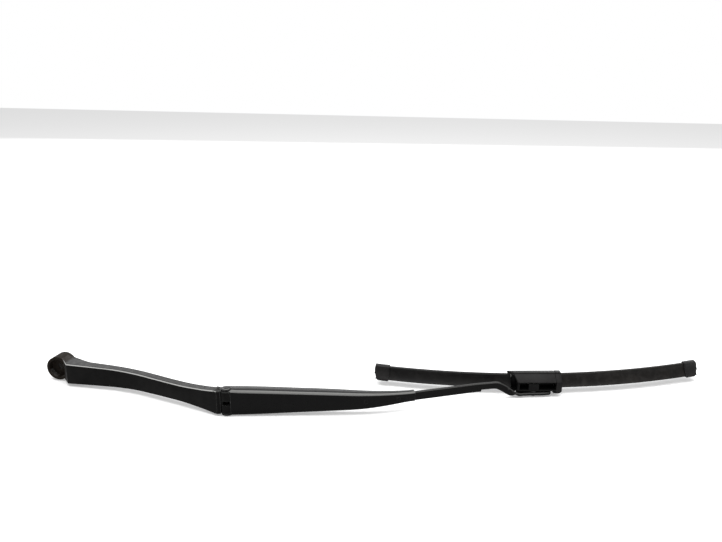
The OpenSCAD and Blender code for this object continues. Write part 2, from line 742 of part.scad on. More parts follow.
module carrier_section() {
    slot = rail_out + seat_gap;
    difference() {
        translate([-2, -half_w - 0.4]) square([4.6, carrier_top + blade_drop + half_w + 0.4]);
        translate([-rail_half - 0.1, -slot]) square([rail_t + 0.2, 2 * slot]);
        translate([0, -3.4]) square([1.7, 6.8]);
        translate([-4, -3.5]) square([4, 7]);
    }
}

// Frame that closes the far end of the connector round the blade, with a rounded lower corner
module end_frame() {
    notch = half_w + 0.5;
    difference() {
        translate([frame_back + 0.3, 0, 0])
        rotate([90, 0, 90])
        linear_extrude(frame_l - 0.3)
        difference() {
            polygon([[side_back, cover_top], [roof_high[0] + 0.6, cover_top], roof_high, roof_low, [tower_v, 1.2],
                [tower_v, 2.3 - frame_drop], [tower_v + 0.6, 0.8 - frame_drop], [tower_v + 2, -frame_drop],
                [side_back - 4, -frame_drop], [side_back, 1.8 - frame_drop]]);
            polygon([[rail_v - 8.8, -blade_drop - notch], [rail_v - 8.8, -5.5], [rail_v - 4.6, 1.5],
                [rail_v - 2.8, notch - blade_drop], [rail_v + 12, notch - blade_drop],
                [rail_v + 12, -blade_drop - notch]]);
        }
        translate([connector_front + 0.3 - frame_round, 2 * side_back, frame_round - frame_drop - 0.3])
            rotate([90, 0, 0])
            linear_extrude(4 * side_back)
            difference() {
                translate([0, -frame_round - 2]) square(frame_round + 2);
                circle(r = frame_round);
            }
    }
}

// Tray that closes the space round the tower from below and from the hinge side
module tray() {
    translate([-tray_back, 0, 0]) rotate([90, 0, 90]) linear_extrude(tray_back + frame_back + 1)
        polygon([[tower_v, tower_low], [tower_v, tower_low + tray_wall], [seat_v, tower_low + tray_wall], [seat_v, tower_low]]);
    translate([-tray_back, 0, 0]) rotate([90, 0, 90]) linear_extrude(tray_wall) tower_section();
}

module tower_section() {
    polygon([[tower_v, tower_low], [tower_v, -1], [under_low[0] - 0.2, under_roof(under_low[0] - 0.2, 0.4)],
        [seat_v, under_roof(seat_v, 0.4) - 2], [seat_v, tower_low]]);
}

module blade_carrier() {
    color([0.05, 0.05, 0.055])
    difference() {
        union() {
            bowed(1 - spoiler_in, frame_back + 1) carrier_section();
            blade_frame() {
                translate([-tower_l, 0, 0]) rotate([90, 0, 90]) linear_extrude(2 * tower_l) tower_section();
                tray();
                end_frame();
            }
        }
        blade_frame() {
            translate([0, 0, tower_low - 1]) cylinder(r = pin_bush_r, h = 20);
            translate([-tower_l - 1, -1.6, side_pin_tip - 3.1]) cube([tower_l + 1, 3.2, 1.4]);
        }
    }
}

module pin_bush() {
    color([0.75, 0.72, 0.62])
    blade_frame() difference() {
        translate([0, 0, tower_low]) cylinder(r = pin_bush_r, h = side_pin_tip - 3.3 - tower_low);
        translate([0, 0, tower_low - 1]) cylinder(r = pin_bore_r, h = 20);
    }
}

// Latch: a fork that drops into the groove of the side pin
module pin_latch() {
    groove_r = side_pin_d / 2 - 0.7;
    color([0.8, 0.78, 0.7])
    blade_frame() translate([0, 0, side_pin_tip - 2.9]) linear_extrude(1)
    difference() {
        translate([-tower_l, -1.5]) square([tower_l - groove_r - 0.2, 3]);
        circle(r = groove_r + 0.15);
    }
}

module connector_cover() {
    color([0.07, 0.07, 0.075])
    blade_frame()
    intersection() {
        translate([-connector_back - 1, 0, 0]) rotate([90, 0, 90]) linear_extrude(connector_back + frame_back + 1)
        polygon([[side_back, cover_top], [roof_high[0] + 0.6, cover_top], roof_high, roof_low, [roof_low[0] - 0.6, 1.6],
            under_low, under_high, [under_high[0] + 0.4, cover_top - cover_wall], [side_back, cover_top - cover_wall]]);
        // Plan of the cover, with its end towards the hinge swept back
        translate([0, 0, -cover_top])
            linear_extrude(3 * cover_top)
            polygon([[11.7 - connector_back, roof_low[0] - 2], [11.5 - connector_back, roof_low[0]],
                [8.2 - connector_back, roof_high[0]], [-connector_back, side_back],
                [-connector_back, side_back + 2], [frame_back + 2, side_back + 2], [frame_back + 2, roof_low[0] - 2]]);
    }
}

arm_head();
hinge_bush_upper();
hinge_bush_lower();
spring_anchor_pin();
arm_channel();
hinge_pin();
arm_bar();
bar_rivets();
side_pin();
tension_spring();
spring_link();
blade_carrier();
connector_cover();
pin_bush();
pin_latch();
rail_upper();
rail_lower();
wiper_rubber();
spoiler_left();
spoiler_right();
end_cap_left();
end_cap_right();
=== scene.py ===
import json
import math
import bmesh
import bpy
from mathutils import Matrix, Vector


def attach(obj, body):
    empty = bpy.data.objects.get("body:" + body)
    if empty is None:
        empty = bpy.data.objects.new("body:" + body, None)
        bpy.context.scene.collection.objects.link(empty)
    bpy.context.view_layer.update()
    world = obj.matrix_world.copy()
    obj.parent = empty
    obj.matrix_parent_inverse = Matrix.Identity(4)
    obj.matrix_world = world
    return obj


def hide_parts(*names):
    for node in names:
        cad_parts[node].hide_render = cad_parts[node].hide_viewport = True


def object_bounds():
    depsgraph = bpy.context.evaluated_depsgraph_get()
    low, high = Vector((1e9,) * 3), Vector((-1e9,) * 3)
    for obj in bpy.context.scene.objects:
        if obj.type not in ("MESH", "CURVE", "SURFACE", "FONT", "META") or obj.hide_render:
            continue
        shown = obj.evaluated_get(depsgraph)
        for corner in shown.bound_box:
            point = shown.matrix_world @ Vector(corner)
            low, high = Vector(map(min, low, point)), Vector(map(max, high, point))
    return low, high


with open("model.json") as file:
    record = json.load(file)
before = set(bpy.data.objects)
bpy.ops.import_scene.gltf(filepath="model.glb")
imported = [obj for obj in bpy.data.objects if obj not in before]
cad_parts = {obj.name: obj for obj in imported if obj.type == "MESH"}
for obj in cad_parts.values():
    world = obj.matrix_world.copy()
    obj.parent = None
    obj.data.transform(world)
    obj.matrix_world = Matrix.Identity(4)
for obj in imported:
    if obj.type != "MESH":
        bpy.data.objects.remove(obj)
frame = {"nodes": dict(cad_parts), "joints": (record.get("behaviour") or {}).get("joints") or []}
cad_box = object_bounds()

MM = 0.001


def new_object(name, data):
    made = bpy.data.objects.new(name, data)
    bpy.context.scene.collection.objects.link(made)
    return made


# Camera as the photograph was taken
PHOTO_WIDTH = 722
FOCAL_PIXELS = 800
SENSOR_WIDTH = 36
CAMERA_AT = Vector((0.5513, -0.8276, 0.4097))
CAMERA_HEADING = math.radians(11.5)
CAMERA_PITCH = math.radians(17.2)


def make_camera():
    """The photograph's camera, looking down at the arm from its outer side."""
    data = bpy.data.cameras.new("photo_camera")
    data.sensor_width = SENSOR_WIDTH
    data.lens = FOCAL_PIXELS / PHOTO_WIDTH * SENSOR_WIDTH
    data.clip_start = 0.01
    data.clip_end = 50
    camera = new_object("photo_camera", data)
    level = Vector((-math.sin(CAMERA_HEADING), math.cos(CAMERA_HEADING), 0))
    ahead = level * math.cos(CAMERA_PITCH) - Vector((0, 0, math.sin(CAMERA_PITCH)))
    camera.location = CAMERA_AT
    camera.rotation_mode = "QUATERNION"
    camera.rotation_quaternion = ahead.to_track_quat("-Z", "Y")
    bpy.context.scene.camera = camera


make_camera()
bpy.context.scene.view_settings.view_transform = "Standard"


# Frames of the head, the arm and the blade: X along the piece, Y towards the glass, Z along the hinge pin
HEAD_HEADING = math.radians(-16)
ARM_HEADING = math.radians(12.5)
BLADE_HEADING = math.radians(12)
HINGE_INSET = 7 * MM

joint_at = {joint["name"]: Vector(joint["pos_m"]) for joint in frame["joints"]}


def turned_to(place, heading):
    return Matrix.Translation(place) @ Matrix.Rotation(heading, 4, "Z")


head_frame = turned_to(joint_at["arm_hinge"], HEAD_HEADING)
arm_frame = turned_to(joint_at["arm_hinge"], ARM_HEADING) @ Matrix.Translation((0, -HINGE_INSET, 0))
blade_frame = turned_to(joint_at["blade_pivot"], BLADE_HEADING)

# The blade's bow, which its extruded rubber follows
BOW_RADIUS = 645 * MM
RAIL_AT = 12 * MM
bow_centre = blade_frame @ Vector((0, RAIL_AT + BOW_RADIUS, 0))


# Node helpers
def fill(tree, socket, value):
    """Links the value to the socket if it comes from a node, or else sets it."""
    if isinstance(value, bpy.types.NodeSocket):
        tree.links.new(value, socket)
    else:
        socket.default_value = value


def add(tree, kind, settings=None, **inputs):
    """A node of that kind. An input is given by its name, or by its number as i0, i1 and so on."""
    made = tree.nodes.new(kind)
    for key, value in (settings or {}).items():
        setattr(made, key, value)
    for key, value in inputs.items():
        numbered = key[0] == "i" and key[1:].isdigit()
        fill(tree, made.inputs[int(key[1:]) if numbered else key.replace("_", " ")], value)
    return made


def maths(tree, operation, a, b=0.0, clamp=False):
    settings = {"operation": operation, "use_clamp": clamp}
    return add(tree, "ShaderNodeMath", settings, i0=a, i1=b).outputs[0]


def vector_maths(tree, operation, **inputs):
    """The number that a vector operation gives."""
    return add(tree, "ShaderNodeVectorMath", {"operation": operation}, **inputs).outputs["Value"]


def vector(tree, x, y, z=0.0):
    return add(tree, "ShaderNodeCombineXYZ", X=x, Y=y, Z=z).outputs[0]


def split(tree, value):
    """The three parts of a vector."""
    return add(tree, "ShaderNodeSeparateXYZ", Vector=value).outputs


def noise(tree, where, scale, detail=2.0, rough=0.5):
    made = add(tree, "ShaderNodeTexNoise", Vector=where, Scale=scale, Detail=detail, Roughness=rough)
    return made.outputs[0]


def ramp(tree, value, low, high, dark=0.0, bright=1.0):
    """Dark where the value is at low or before it, bright where it is at high or past it."""
    made = add(
        tree, "ShaderNodeMapRange", {"clamp": True},
        Value=value, From_Min=low, From_Max=high, To_Min=dark, To_Max=bright,
    )
    return made.outputs[0]


def blend_colours(tree, share, a, b):
    """Colour a where the share is 0, colour b where it is 1."""
    made = add(tree, "ShaderNodeMix", {"data_type": "RGBA"}, i0=share)
    for socket, value in ((made.inputs[6], a), (made.inputs[7], b)):
        fill(tree, socket, value if isinstance(value, bpy.types.NodeSocket) else (*value, 1))
    return made.outputs[2]


def bumped(tree, relief, height, normal=None):
    """The normal of a surface with that relief on it."""
    made = add(tree, "ShaderNodeBump", Height=relief, Strength=1.0, Distance=height)
    if normal:
        fill(tree, made.inputs["Normal"], normal)
    return made.outputs[0]


# Masks: where a finish is worn or dirty, and where highlight and shade are painted on
def worn_edges(tree, where, strength):
    """Edges that handling has rubbed bright, in patches up to the strength."""
    soft = add(tree, "ShaderNodeBevel", {"samples": 4}, Radius=0.5 * MM).outputs[0]
    hard = add(tree, "ShaderNodeNewGeometry").outputs["Normal"]
    edge = ramp(tree, vector_maths(tree, "DOT_PRODUCT", i0=soft, i1=hard), 0.995, 0.9)
    patchy = ramp(tree, noise(tree, where, 420, 4), 0.4, 0.6, 0.2, strength)
    return maths(tree, "MULTIPLY", edge, patchy)


def painted_rounding_highlight(tree, strength):
    """The rounding between an outer face and an upward side where it faces up and out, the mask of a painted
    highlight.
    """
    facing = split(tree, add(tree, "ShaderNodeTexCoord").outputs["Normal"])
    past_face = ramp(tree, facing[2], 0.2, 0.35)
    before_top = ramp(tree, facing[2], 0.97, 0.93)
    outward = ramp(tree, facing[1], -0.15, -0.25)
    rounding = maths(tree, "MULTIPLY", maths(tree, "MULTIPLY", past_face, before_top), outward)
    return maths(tree, "MULTIPLY", rounding, strength)


DIRT_FADES_FROM = 14 * MM
DIRT_ENDS_AT = 21 * MM


def around_spindle(tree, where):
    """The boss, outside and in, where road dirt has dried on."""
    place = split(tree, where)
    away = vector_maths(tree, "LENGTH", i0=vector(tree, place[0], place[1]))
    patchy = ramp(tree, noise(tree, where, 260, 4), 0.3, 0.7, 0.55, 1.0)
    return maths(tree, "MULTIPLY", ramp(tree, away, DIRT_ENDS_AT, DIRT_FADES_FROM), patchy)


END_FRAME_AT = 26.5 * MM
SHADE_FADES_OVER = 0.6 * MM


def tray_shade_mask(tree, where):
    """The carrier's tray up to its end frame, darkened as painted shade under the cover."""
    ahead = Vector((math.cos(BLADE_HEADING), math.sin(BLADE_HEADING), 0))
    along = vector_maths(tree, "DOT_PRODUCT", i0=where, i1=ahead)
    frame_at = joint_at["blade_pivot"].dot(ahead) + END_FRAME_AT
    return ramp(tree, along, frame_at + SHADE_FADES_OVER / 2, frame_at - SHADE_FADES_OVER / 2)


def extrusion_lines(tree, where, normal):
    """Fine lines that the extruder's die leaves along the bow."""
    place = split(tree, where)
    across_x = maths(tree, "SUBTRACT", place[0], bow_centre.x)
    across_y = maths(tree, "SUBTRACT", place[1], bow_centre.y)
    radius = vector_maths(tree, "LENGTH", i0=vector(tree, across_x, across_y))
    lines = noise(tree, vector(tree, radius, place[2]), 2600, 3)
    return bumped(tree, lines, 0.03 * MM, normal)


# Finishes
RUBBED_EDGE = (0.12, 0.12, 0.12)
# Grey of the painted highlight on the upper roundings
PAINTED_HIGHLIGHT_GREY = (0.42, 0.42, 0.41)
ROAD_DIRT = (0.017, 0.0135, 0.0105)
# Near black of the painted shade in the carrier's tray
PAINTED_SHADE_BLACK = (0.001, 0.0009, 0.0009)
GREY_DUST = (0.2, 0.19, 0.18)


def roughen(tree, gloss, mask, amount):
    return maths(tree, "ADD", gloss, maths(tree, "MULTIPLY", mask, amount), clamp=True)


def finish_material(
    name,
    colour,
    roughness,
    metallic=0.0,
    specular=0.5,
    mottle=0.25,
    grain=(2500, 0.02),
    swell=(160, 0.05),
    dust=0.0,
    worn=0.0,
    rubbed_up=0.0,
    dirt_at_spindle=False,
    greased_tray=False,
    lines=None,
):
    """A surface with mottled colour, worn edges, dust and dirt, a painted highlight on upper roundings and
    painted shade in the tray; grain and swell are a scale and a height in mm.
    """
    made = bpy.data.materials.new(name)
    made.use_nodes = True
    tree = made.node_tree
    shader = tree.nodes["Principled BSDF"]
    where = add(tree, "ShaderNodeTexCoord").outputs["Object"]

    patches = ramp(tree, noise(tree, where, 70, 4), 0.35, 0.65)
    darker = [part * (1 - mottle) for part in colour]
    lighter = [part * (1 + mottle) for part in colour]
    paint = blend_colours(tree, patches, darker, lighter)
    gloss = ramp(tree, noise(tree, where, 240, 3), 0.3, 0.7, roughness - 0.05, roughness + 0.06)
    if worn:
        paint = blend_colours(tree, worn_edges(tree, where, worn), paint, RUBBED_EDGE)
    # Upper roundings painted light grey: a painted highlight where the rounding faces up and out
    if rubbed_up:
        paint = blend_colours(tree, painted_rounding_highlight(tree, rubbed_up), paint, PAINTED_HIGHLIGHT_GREY)
    if dirt_at_spindle:
        dirt = around_spindle(tree, where)
        paint = blend_colours(tree, dirt, paint, ROAD_DIRT)
        gloss = roughen(tree, gloss, dirt, 0.3)
    # The carrier's tray painted near black: painted shade in the recess under the cover
    if greased_tray:
        grease = tray_shade_mask(tree, where)
        paint = blend_colours(tree, grease, paint, PAINTED_SHADE_BLACK)
        gloss = roughen(tree, gloss, grease, 0.15)
    if dust:
        film = ramp(tree, noise(tree, where, 120, 5, 0.6), 0.45, 0.7, 0, dust)
        specks = ramp(tree, noise(tree, where, 1900, 1), 0.72, 0.76, 0, 4 * dust)
        paint = blend_colours(tree, maths(tree, "MAXIMUM", film, specks), paint, GREY_DUST)
        gloss = roughen(tree, gloss, film, 1.5)
    fill(tree, shader.inputs["Base Color"], paint)
    fill(tree, shader.inputs["Roughness"], gloss)
    shader.inputs["Metallic"].default_value = metallic
    shader.inputs["Specular IOR Level"].default_value = specular

    normal = None
    for (scale, height), detail in ((grain, 3), (swell, 2)):
        normal = bumped(tree, noise(tree, where, scale, detail), height * MM, normal)
    if lines:
        normal = lines(tree, where, normal)
    fill(tree, shader.inputs["Normal"], normal)
    return made


def satin_paint(name, roughness=0.3, **wear_and_painted_light):
    """The black paint of the folded sheet and what is riveted to it."""
    return finish_material(
        name, (0.0008, 0.0007, 0.0007), roughness, specular=0.07, mottle=0.2,
        grain=(2200, 0.008), swell=(120, 0.03), dust=0.004, **wear_and_painted_light,
    )


def turned_steel(name, colour, roughness, mottle, dust):
    return finish_material(
        name, colour, roughness, metallic=1.0, mottle=mottle,
        grain=(3500, 0.006), swell=(400, 0.01), dust=dust,
    )


def acetal(name, colour, roughness, mottle, dust, specular=0.5):
    return finish_material(
        name, colour, roughness, specular=specular, mottle=mottle,
        grain=(3000, 0.006), swell=(300, 0.01), dust=dust,
    )


def textured_plastic(name, specular, dust, **wear_and_painted_light):
    """The spark-textured black plastic of the carrier, the cover and the caps."""
    return finish_material(
        name, (0.006, 0.0055, 0.0055), 0.46, specular=specular, mottle=0.2,
        grain=(5200, 0.03), swell=(140, 0.03), dust=dust, **wear_and_painted_light,
    )


def extruded_rubber(name, colour, roughness, mottle, dust):
    return finish_material(
        name, colour, roughness, specular=0.12, mottle=mottle,
        grain=(4200, 0.012), swell=(90, 0.02), dust=dust, lines=extrusion_lines,
    )


FINISH = {
    # The cast head, the sheet and the bar carry a painted highlight on their upper roundings
    "die_cast": finish_material(
        "cast_satin_paint", (0.0038, 0.0037, 0.0036), 0.38, specular=0.035, mottle=0.3,
        grain=(1500, 0.012), swell=(190, 0.03), dust=0.008, worn=0.5, rubbed_up=0.9, dirt_at_spindle=True,
    ),
    "painted_sheet": satin_paint("sheet_satin_paint", worn=0.4, rubbed_up=0.4),
    "painted_bar": satin_paint("bar_satin_paint", worn=0.2, rubbed_up=0.1),
    "painted_rivet": satin_paint("rivet_satin_paint", roughness=0.34),
    "steel": turned_steel("plated_steel", (0.42, 0.42, 0.43), 0.34, mottle=0.15, dust=0.03),
    "black_steel": turned_steel("blackened_steel", (0.03, 0.03, 0.03), 0.36, mottle=0.25, dust=0.02),
    "spring_steel": finish_material(
        "oiled_spring_steel", (0.16, 0.155, 0.15), 0.4, metallic=1.0, mottle=0.3,
        grain=(3000, 0.008), swell=(500, 0.01), dust=0.05,
    ),
    "bush_plastic": acetal("acetal", (0.62, 0.6, 0.52), 0.45, mottle=0.08, dust=0.04),
    "dark_bush": acetal("grey_acetal", (0.03, 0.03, 0.03), 0.42, mottle=0.1, dust=0.03, specular=0.3),
    "black_plastic": textured_plastic("moulded_plastic", specular=0.14, dust=0.03, worn=0.4),
    # The carrier's plastic with its tray painted near black as painted shade
    "tray_shaded_plastic": textured_plastic("tray_shaded_plastic", specular=0.1, dust=0.004, greased_tray=True),
    # One rubber in two copies: the right one painted lighter and browner as painted light, the left one
    # darker as painted shade; the right one also has more dust
    "rubber": extruded_rubber("extruded_rubber", (0.0028, 0.0025, 0.0024), 0.46, mottle=0.25, dust=0.02),
    "lit_dusty_rubber": extruded_rubber("lit_dusty_rubber", (0.0042, 0.0034, 0.0029), 0.48, mottle=0.3, dust=0.05),
}


# Pieces made from the frame's own solids: merged, their edges broken and their faces smoothed
MERGED_WITHIN = 0.002 * MM
FLAT_WITHIN = math.radians(0.3)
SHARP_FROM = math.radians(32)
BROKEN_FROM = math.radians(35)


def whole_faces(node, name):
    """The node's solid as a mesh of whole faces."""
    data = frame["nodes"][node].data.copy()
    data.name = name
    shape = bmesh.new()
    shape.from_mesh(data)
    bmesh.ops.remove_doubles(shape, verts=shape.verts, dist=MERGED_WITHIN)
    bmesh.ops.dissolve_limit(shape, angle_limit=FLAT_WITHIN, verts=shape.verts, edges=shape.edges)
    shape.to_mesh(data)
    shape.free()
    data.materials.clear()
    return data


def smooth(data):
    data.polygons.foreach_set("use_smooth", [True] * len(data.polygons))
    data.set_sharp_from_angle(angle=SHARP_FROM)


def apply_modifiers(made):
    bpy.context.view_layer.update()
    ready = bpy.data.meshes.new_from_object(made.evaluated_get(bpy.context.evaluated_depsgraph_get()))
    made.modifiers.clear()
    made.data = ready


def break_edges(made, width):
    rounding = made.modifiers.new("broken_edges", "BEVEL")
    rounding.width = width
    rounding.segments = 2
    rounding.limit_method = "ANGLE"
    rounding.angle_limit = BROKEN_FROM
    rounding.use_clamp_overlap = True
    apply_modifiers(made)


def finished(node, name, slot, body, bevel=0, finish=None, shaped=None):
    """The node's solid with broken edges of that width in mm and with the slot's finish or another one."""
    made = new_object(name, whole_faces(node, name))
    if shaped:
        shaped(made.data)
    if bevel:
        break_edges(made, bevel * MM)
    smooth(made.data)
    made.data.materials.clear()
    made.data.materials.append(FINISH[finish or slot])
    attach(made, body)
    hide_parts(node)


PRESSED_FROM = 150 * MM
PRESSED_OVER = 60 * MM
PRESSED_UPPER = 0.08
PRESSED_LOWER = 0.17


def pressed_end(data):
    """The channel's end pressed in on the bar, more on the lower side than on the upper one."""
    to_arm = arm_frame.inverted()
    for vertex in data.vertices:
        along = min(max(((to_arm @ vertex.co).x - PRESSED_FROM) / PRESSED_OVER, 0), 1)
        eased = along * along * (3 - 2 * along)
        vertex.co.z *= 1 - (PRESSED_UPPER if vertex.co.z > 0 else PRESSED_LOWER) * eased


# Head
finished("arm_head", "cast_head", "die_cast", "head", bevel=0.3)
finished("hinge_bush_upper", "bush_upper", "bush_plastic", "head", bevel=0.12, finish="dark_bush")
finished("hinge_bush_lower", "bush_lower", "bush_plastic", "head", bevel=0.12, finish="dark_bush")
finished("spring_anchor_pin", "anchor_pin", "steel", "head", bevel=0.3, finish="black_steel")

# Arm and the link of its spring
finished("arm_channel", "folded_channel", "painted_sheet", "arm", bevel=0.2, shaped=pressed_end)
finished("hinge_pin", "riveted_pin", "painted_sheet", "arm", bevel=0.15)
finished("arm_bar", "flat_bar", "painted_sheet", "arm", finish="painted_bar")
finished("bar_rivets", "channel_rivets", "painted_sheet", "arm", bevel=0.15, finish="painted_rivet")
finished("side_pin", "blade_pin", "steel", "arm", bevel=0.1, finish="black_steel")
finished("spring_link", "link", "steel", "link", bevel=0.3)

# Blade
# The carrier's tray is painted near black as painted shade
finished("blade_carrier", "carrier", "black_plastic", "blade", bevel=0.3, finish="tray_shaded_plastic")
finished("connector_cover", "cover", "black_plastic", "blade", bevel=0.4)
finished("pin_bush", "blade_bush", "bush_plastic", "blade", bevel=0.1)
finished("pin_latch", "latch", "bush_plastic", "blade", bevel=0.1)
finished("rail_upper", "upper_rail", "spring_steel", "blade", bevel=0.1)
finished("rail_lower", "lower_rail", "spring_steel", "blade", bevel=0.1)
finished("wiper_rubber", "wiping_rubber", "rubber", "blade")
# The left spoiler's darker rubber is painted shade, the right one's lighter rubber painted light
finished("spoiler_left", "left_spoiler", "rubber", "blade", bevel=0.2)
finished("spoiler_right", "right_spoiler", "rubber", "blade", bevel=0.2, finish="lit_dusty_rubber")
finished("end_cap_left", "left_cap", "black_plastic", "blade", bevel=0.25)
finished("end_cap_right", "right_cap", "black_plastic", "blade", bevel=0.25)


# Small blocks of the casting and the mouldings, their corners in mm in the frame of their piece
BLOCK_ROUNDING = 0.35 * MM


def block(name, rings, place, body, slot, finish=None):
    """A closed block between two matching rings of corners, its edges broken."""
    shape = bmesh.new()
    first, last = [[shape.verts.new(place @ (Vector(corner) * MM)) for corner in ring] for ring in rings]
    shape.faces.new(first)
    shape.faces.new(list(reversed(last)))
    for i, corner in enumerate(first):
        after = (i + 1) % len(first)
        shape.faces.new((first[after], corner, last[i], last[after]))
    bmesh.ops.recalc_face_normals(shape, faces=shape.faces)
    bmesh.ops.bevel(
        shape, geom=list(shape.edges), offset=BLOCK_ROUNDING, segments=2, affect="EDGES", clamp_overlap=True,
    )
    data = bpy.data.meshes.new(name)
    shape.to_mesh(data)
    shape.free()
    made = new_object(name, data)
    smooth(data)
    data.materials.append(FINISH[finish or slot])
    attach(made, body)


def between(outline, low, high):
    """The same outline in plan at two heights."""
    return [[(x, y, z) for x, y in outline] for z in (low, high)]


def rectangle(x0, x1, y0, y1):
    return [(x0, y0), (x1, y0), (x1, y1), (x0, y1)]


CLAW_FRONT = 4.8
CLAW_BACK = 12.4
CLAW_LOW = -13.6
CLAW_SWEEP = 0.55
TRAY_LOW = -9.9
LET_INTO_TRAY = TRAY_LOW + 0.2
SKIRT_LOW = -15
CONNECTOR_END = 28


def claw_ring(stop, sweep=0):
    """The section of the claw that holds the blade from below, swept back from its front corner."""
    section = [
        (CLAW_FRONT, TRAY_LOW), (CLAW_FRONT, -11.8), (5.4, -13), (6.6, CLAW_LOW),
        (10.4, CLAW_LOW), (CLAW_BACK, -12.6), (CLAW_BACK, TRAY_LOW),
    ]
    return [(stop - sweep * (y - CLAW_FRONT), y, z) for y, z in section]


def connector_blocks():
    """The carrier's claw at its hinge end, the filling under the cover and the far end of the tray."""
    claw = [claw_ring(-26.5, CLAW_SWEEP), claw_ring(-18.2)]
    claw_root = between(rectangle(-18.6, -9, 6.6, CLAW_BACK), SKIRT_LOW, LET_INTO_TRAY)
    under_cover = between([(-29.6, 12.8), (-26.2, 9.4), (-20, 9.4), (-20, 12.8)], 6.3, 9)
    tray_end = between(rectangle(23.6, CONNECTOR_END, -3, CLAW_BACK), -12.4, LET_INTO_TRAY)
    tray_skirt = between(rectangle(20, CONNECTOR_END, CLAW_BACK, 13.5), SKIRT_LOW, LET_INTO_TRAY)
    # These blocks of the carrier take the tray's painted shade
    for name, rings, finish in (
        ("carrier_claw", claw, "tray_shaded_plastic"),
        ("claw_root", claw_root, "tray_shaded_plastic"),
        ("cover_shoulder", under_cover, "black_plastic"),
        ("tray_end", tray_end, "tray_shaded_plastic"),
        ("tray_skirt", tray_skirt, "tray_shaded_plastic"),
    ):
        block(name, rings, blade_frame, "blade", "black_plastic", finish)


connector_blocks()

# Leads the head's outer face on to the knuckle and stays clear of the lifted channel
HEAD_FACE = -10.38
SHOULDER_BACK = -4.1
SHOULDER_HALF_WIDTH = 13.9
shoulder = [
    (-12, HEAD_FACE), (-7, HEAD_FACE), (-3.2, -8.05), (-5.2, -6.2), (-7, SHOULDER_BACK), (-12, SHOULDER_BACK),
]
shoulder_rings = between(shoulder, -SHOULDER_HALF_WIDTH, SHOULDER_HALF_WIDTH)
block("head_shoulder", shoulder_rings, head_frame, "head", "die_cast")


# Wound and repeated forms, each a Geometry Nodes tree
def tree_of(name, sizes):
    """A geometry tree with the sizes as inputs; gives the tree, its input sockets and its output node."""
    tree = bpy.data.node_groups.new(name, "GeometryNodeTree")
    tree.interface.new_socket("Geometry", in_out="OUTPUT", socket_type="NodeSocketGeometry")
    for label, value in sizes.items():
        kind = "NodeSocketInt" if isinstance(value, int) else "NodeSocketFloat"
        tree.interface.new_socket(label, in_out="INPUT", socket_type=kind)
    given = tree.nodes.new("NodeGroupInput")
    return tree, {label: given.outputs[label] for label in sizes}, tree.nodes.new("NodeGroupOutput")


def finish_tree(tree, geometry, material, end, smooth_faces):
    """Ends a tree in Realize Instances and Set Material."""
    solid = add(tree, "GeometryNodeRealizeInstances", Geometry=geometry).outputs[0]
    if smooth_faces:
        solid = add(tree, "GeometryNodeSetShadeSmooth", Geometry=solid).outputs[0]
    dressed = add(tree, "GeometryNodeSetMaterial", Geometry=solid, Material=material)
    fill(tree, end.inputs[0], dressed.outputs[0])


def grown(name, tree, sizes, place):
    """A plain mesh object from a tree with its inputs set, put where it belongs."""
    made = new_object(name, bpy.data.meshes.new(name))
    modifier = made.modifiers.new(name, "NODES")
    modifier.node_group = tree
    for item in tree.interface.items_tree:
        if item.in_out == "INPUT" and item.name in sizes:
            modifier[item.identifier] = sizes[item.name]
    apply_modifiers(made)
    made.data.name = name
    made.data.transform(place)
    return made


def circle(tree, sides, radius):
    settings = {"mode": "RADIUS"}
    return add(tree, "GeometryNodeCurvePrimitiveCircle", settings, Resolution=sides, Radius=radius).outputs[0]


def wire_along(tree, curve, section):
    made = add(tree, "GeometryNodeCurveToMesh", Curve=curve, Profile_Curve=section, Fill_Caps=True)
    return made.outputs[0]


SPRING = {
    "Coils": 28,
    "Pitch": 2.9 * MM,
    "Coil Radius": 4.1 * MM,
    "Wire Diameter": 2 * MM,
    "Start": 30 * MM,
    "Height": 7.9 * MM,
}
COIL_STEPS = 28
WIRE_SIDES = 12
LOOP_OVERLAP = 0.3 * MM
QUARTER_TURN = math.pi / 2


def spring_tree():
    """Closed helix along X with a loop at each end, the far one turned a quarter."""
    tree, size, end = tree_of("wound_spring", SPRING)
    length = maths(tree, "MULTIPLY", size["Coils"], size["Pitch"])

    def placed(curve, along, turn):
        at = vector(tree, along, size["Height"])
        made = add(tree, "GeometryNodeTransform", Geometry=curve, Translation=at, Rotation=turn)
        return made.outputs[0]

    helix = add(
        tree, "GeometryNodeCurveSpiral", Resolution=COIL_STEPS, Rotations=size["Coils"],
        Start_Radius=size["Coil Radius"], End_Radius=size["Coil Radius"], Height=length,
    )
    coil = placed(helix.outputs[0], size["Start"], (QUARTER_TURN, 0, QUARTER_TURN))

    def loop(along, turn):
        arc = add(
            tree, "GeometryNodeCurveArc", {"mode": "RADIUS"}, Resolution=COIL_STEPS,
            Radius=size["Coil Radius"], Start_Angle=-QUARTER_TURN, Sweep_Angle=math.pi,
        )
        return placed(arc.outputs[0], along, turn)

    first_quarter = maths(tree, "MULTIPLY", size["Pitch"], 0.25)
    near = loop(maths(tree, "ADD", size["Start"], first_quarter), (QUARTER_TURN, 0, math.pi))
    to_far = maths(tree, "SUBTRACT", length, LOOP_OVERLAP)
    far = loop(maths(tree, "ADD", size["Start"], to_far), (0, 0, 0))
    joined = tree.nodes.new("GeometryNodeJoinGeometry")
    for curve in (coil, near, far):
        tree.links.new(curve, joined.inputs[0])
    wire = circle(tree, WIRE_SIDES, maths(tree, "MULTIPLY", size["Wire Diameter"], 0.5))
    solid = wire_along(tree, joined.outputs[0], wire)
    finish_tree(tree, solid, FINISH["spring_steel"], end, smooth_faces=True)
    return tree


spring = grown("spring", spring_tree(), SPRING, arm_frame)
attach(spring, "arm")
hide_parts("tension_spring")

KNURL = {
    "Teeth": 48,
    "Mouth Radius": 6.02 * MM,
    "Inner Radius": 5.02 * MM,
    "From": 4.3 * MM,
    "To": 13.3 * MM,
    "Tooth": 0.32 * MM,
}
TOOTH_SIDES = 4


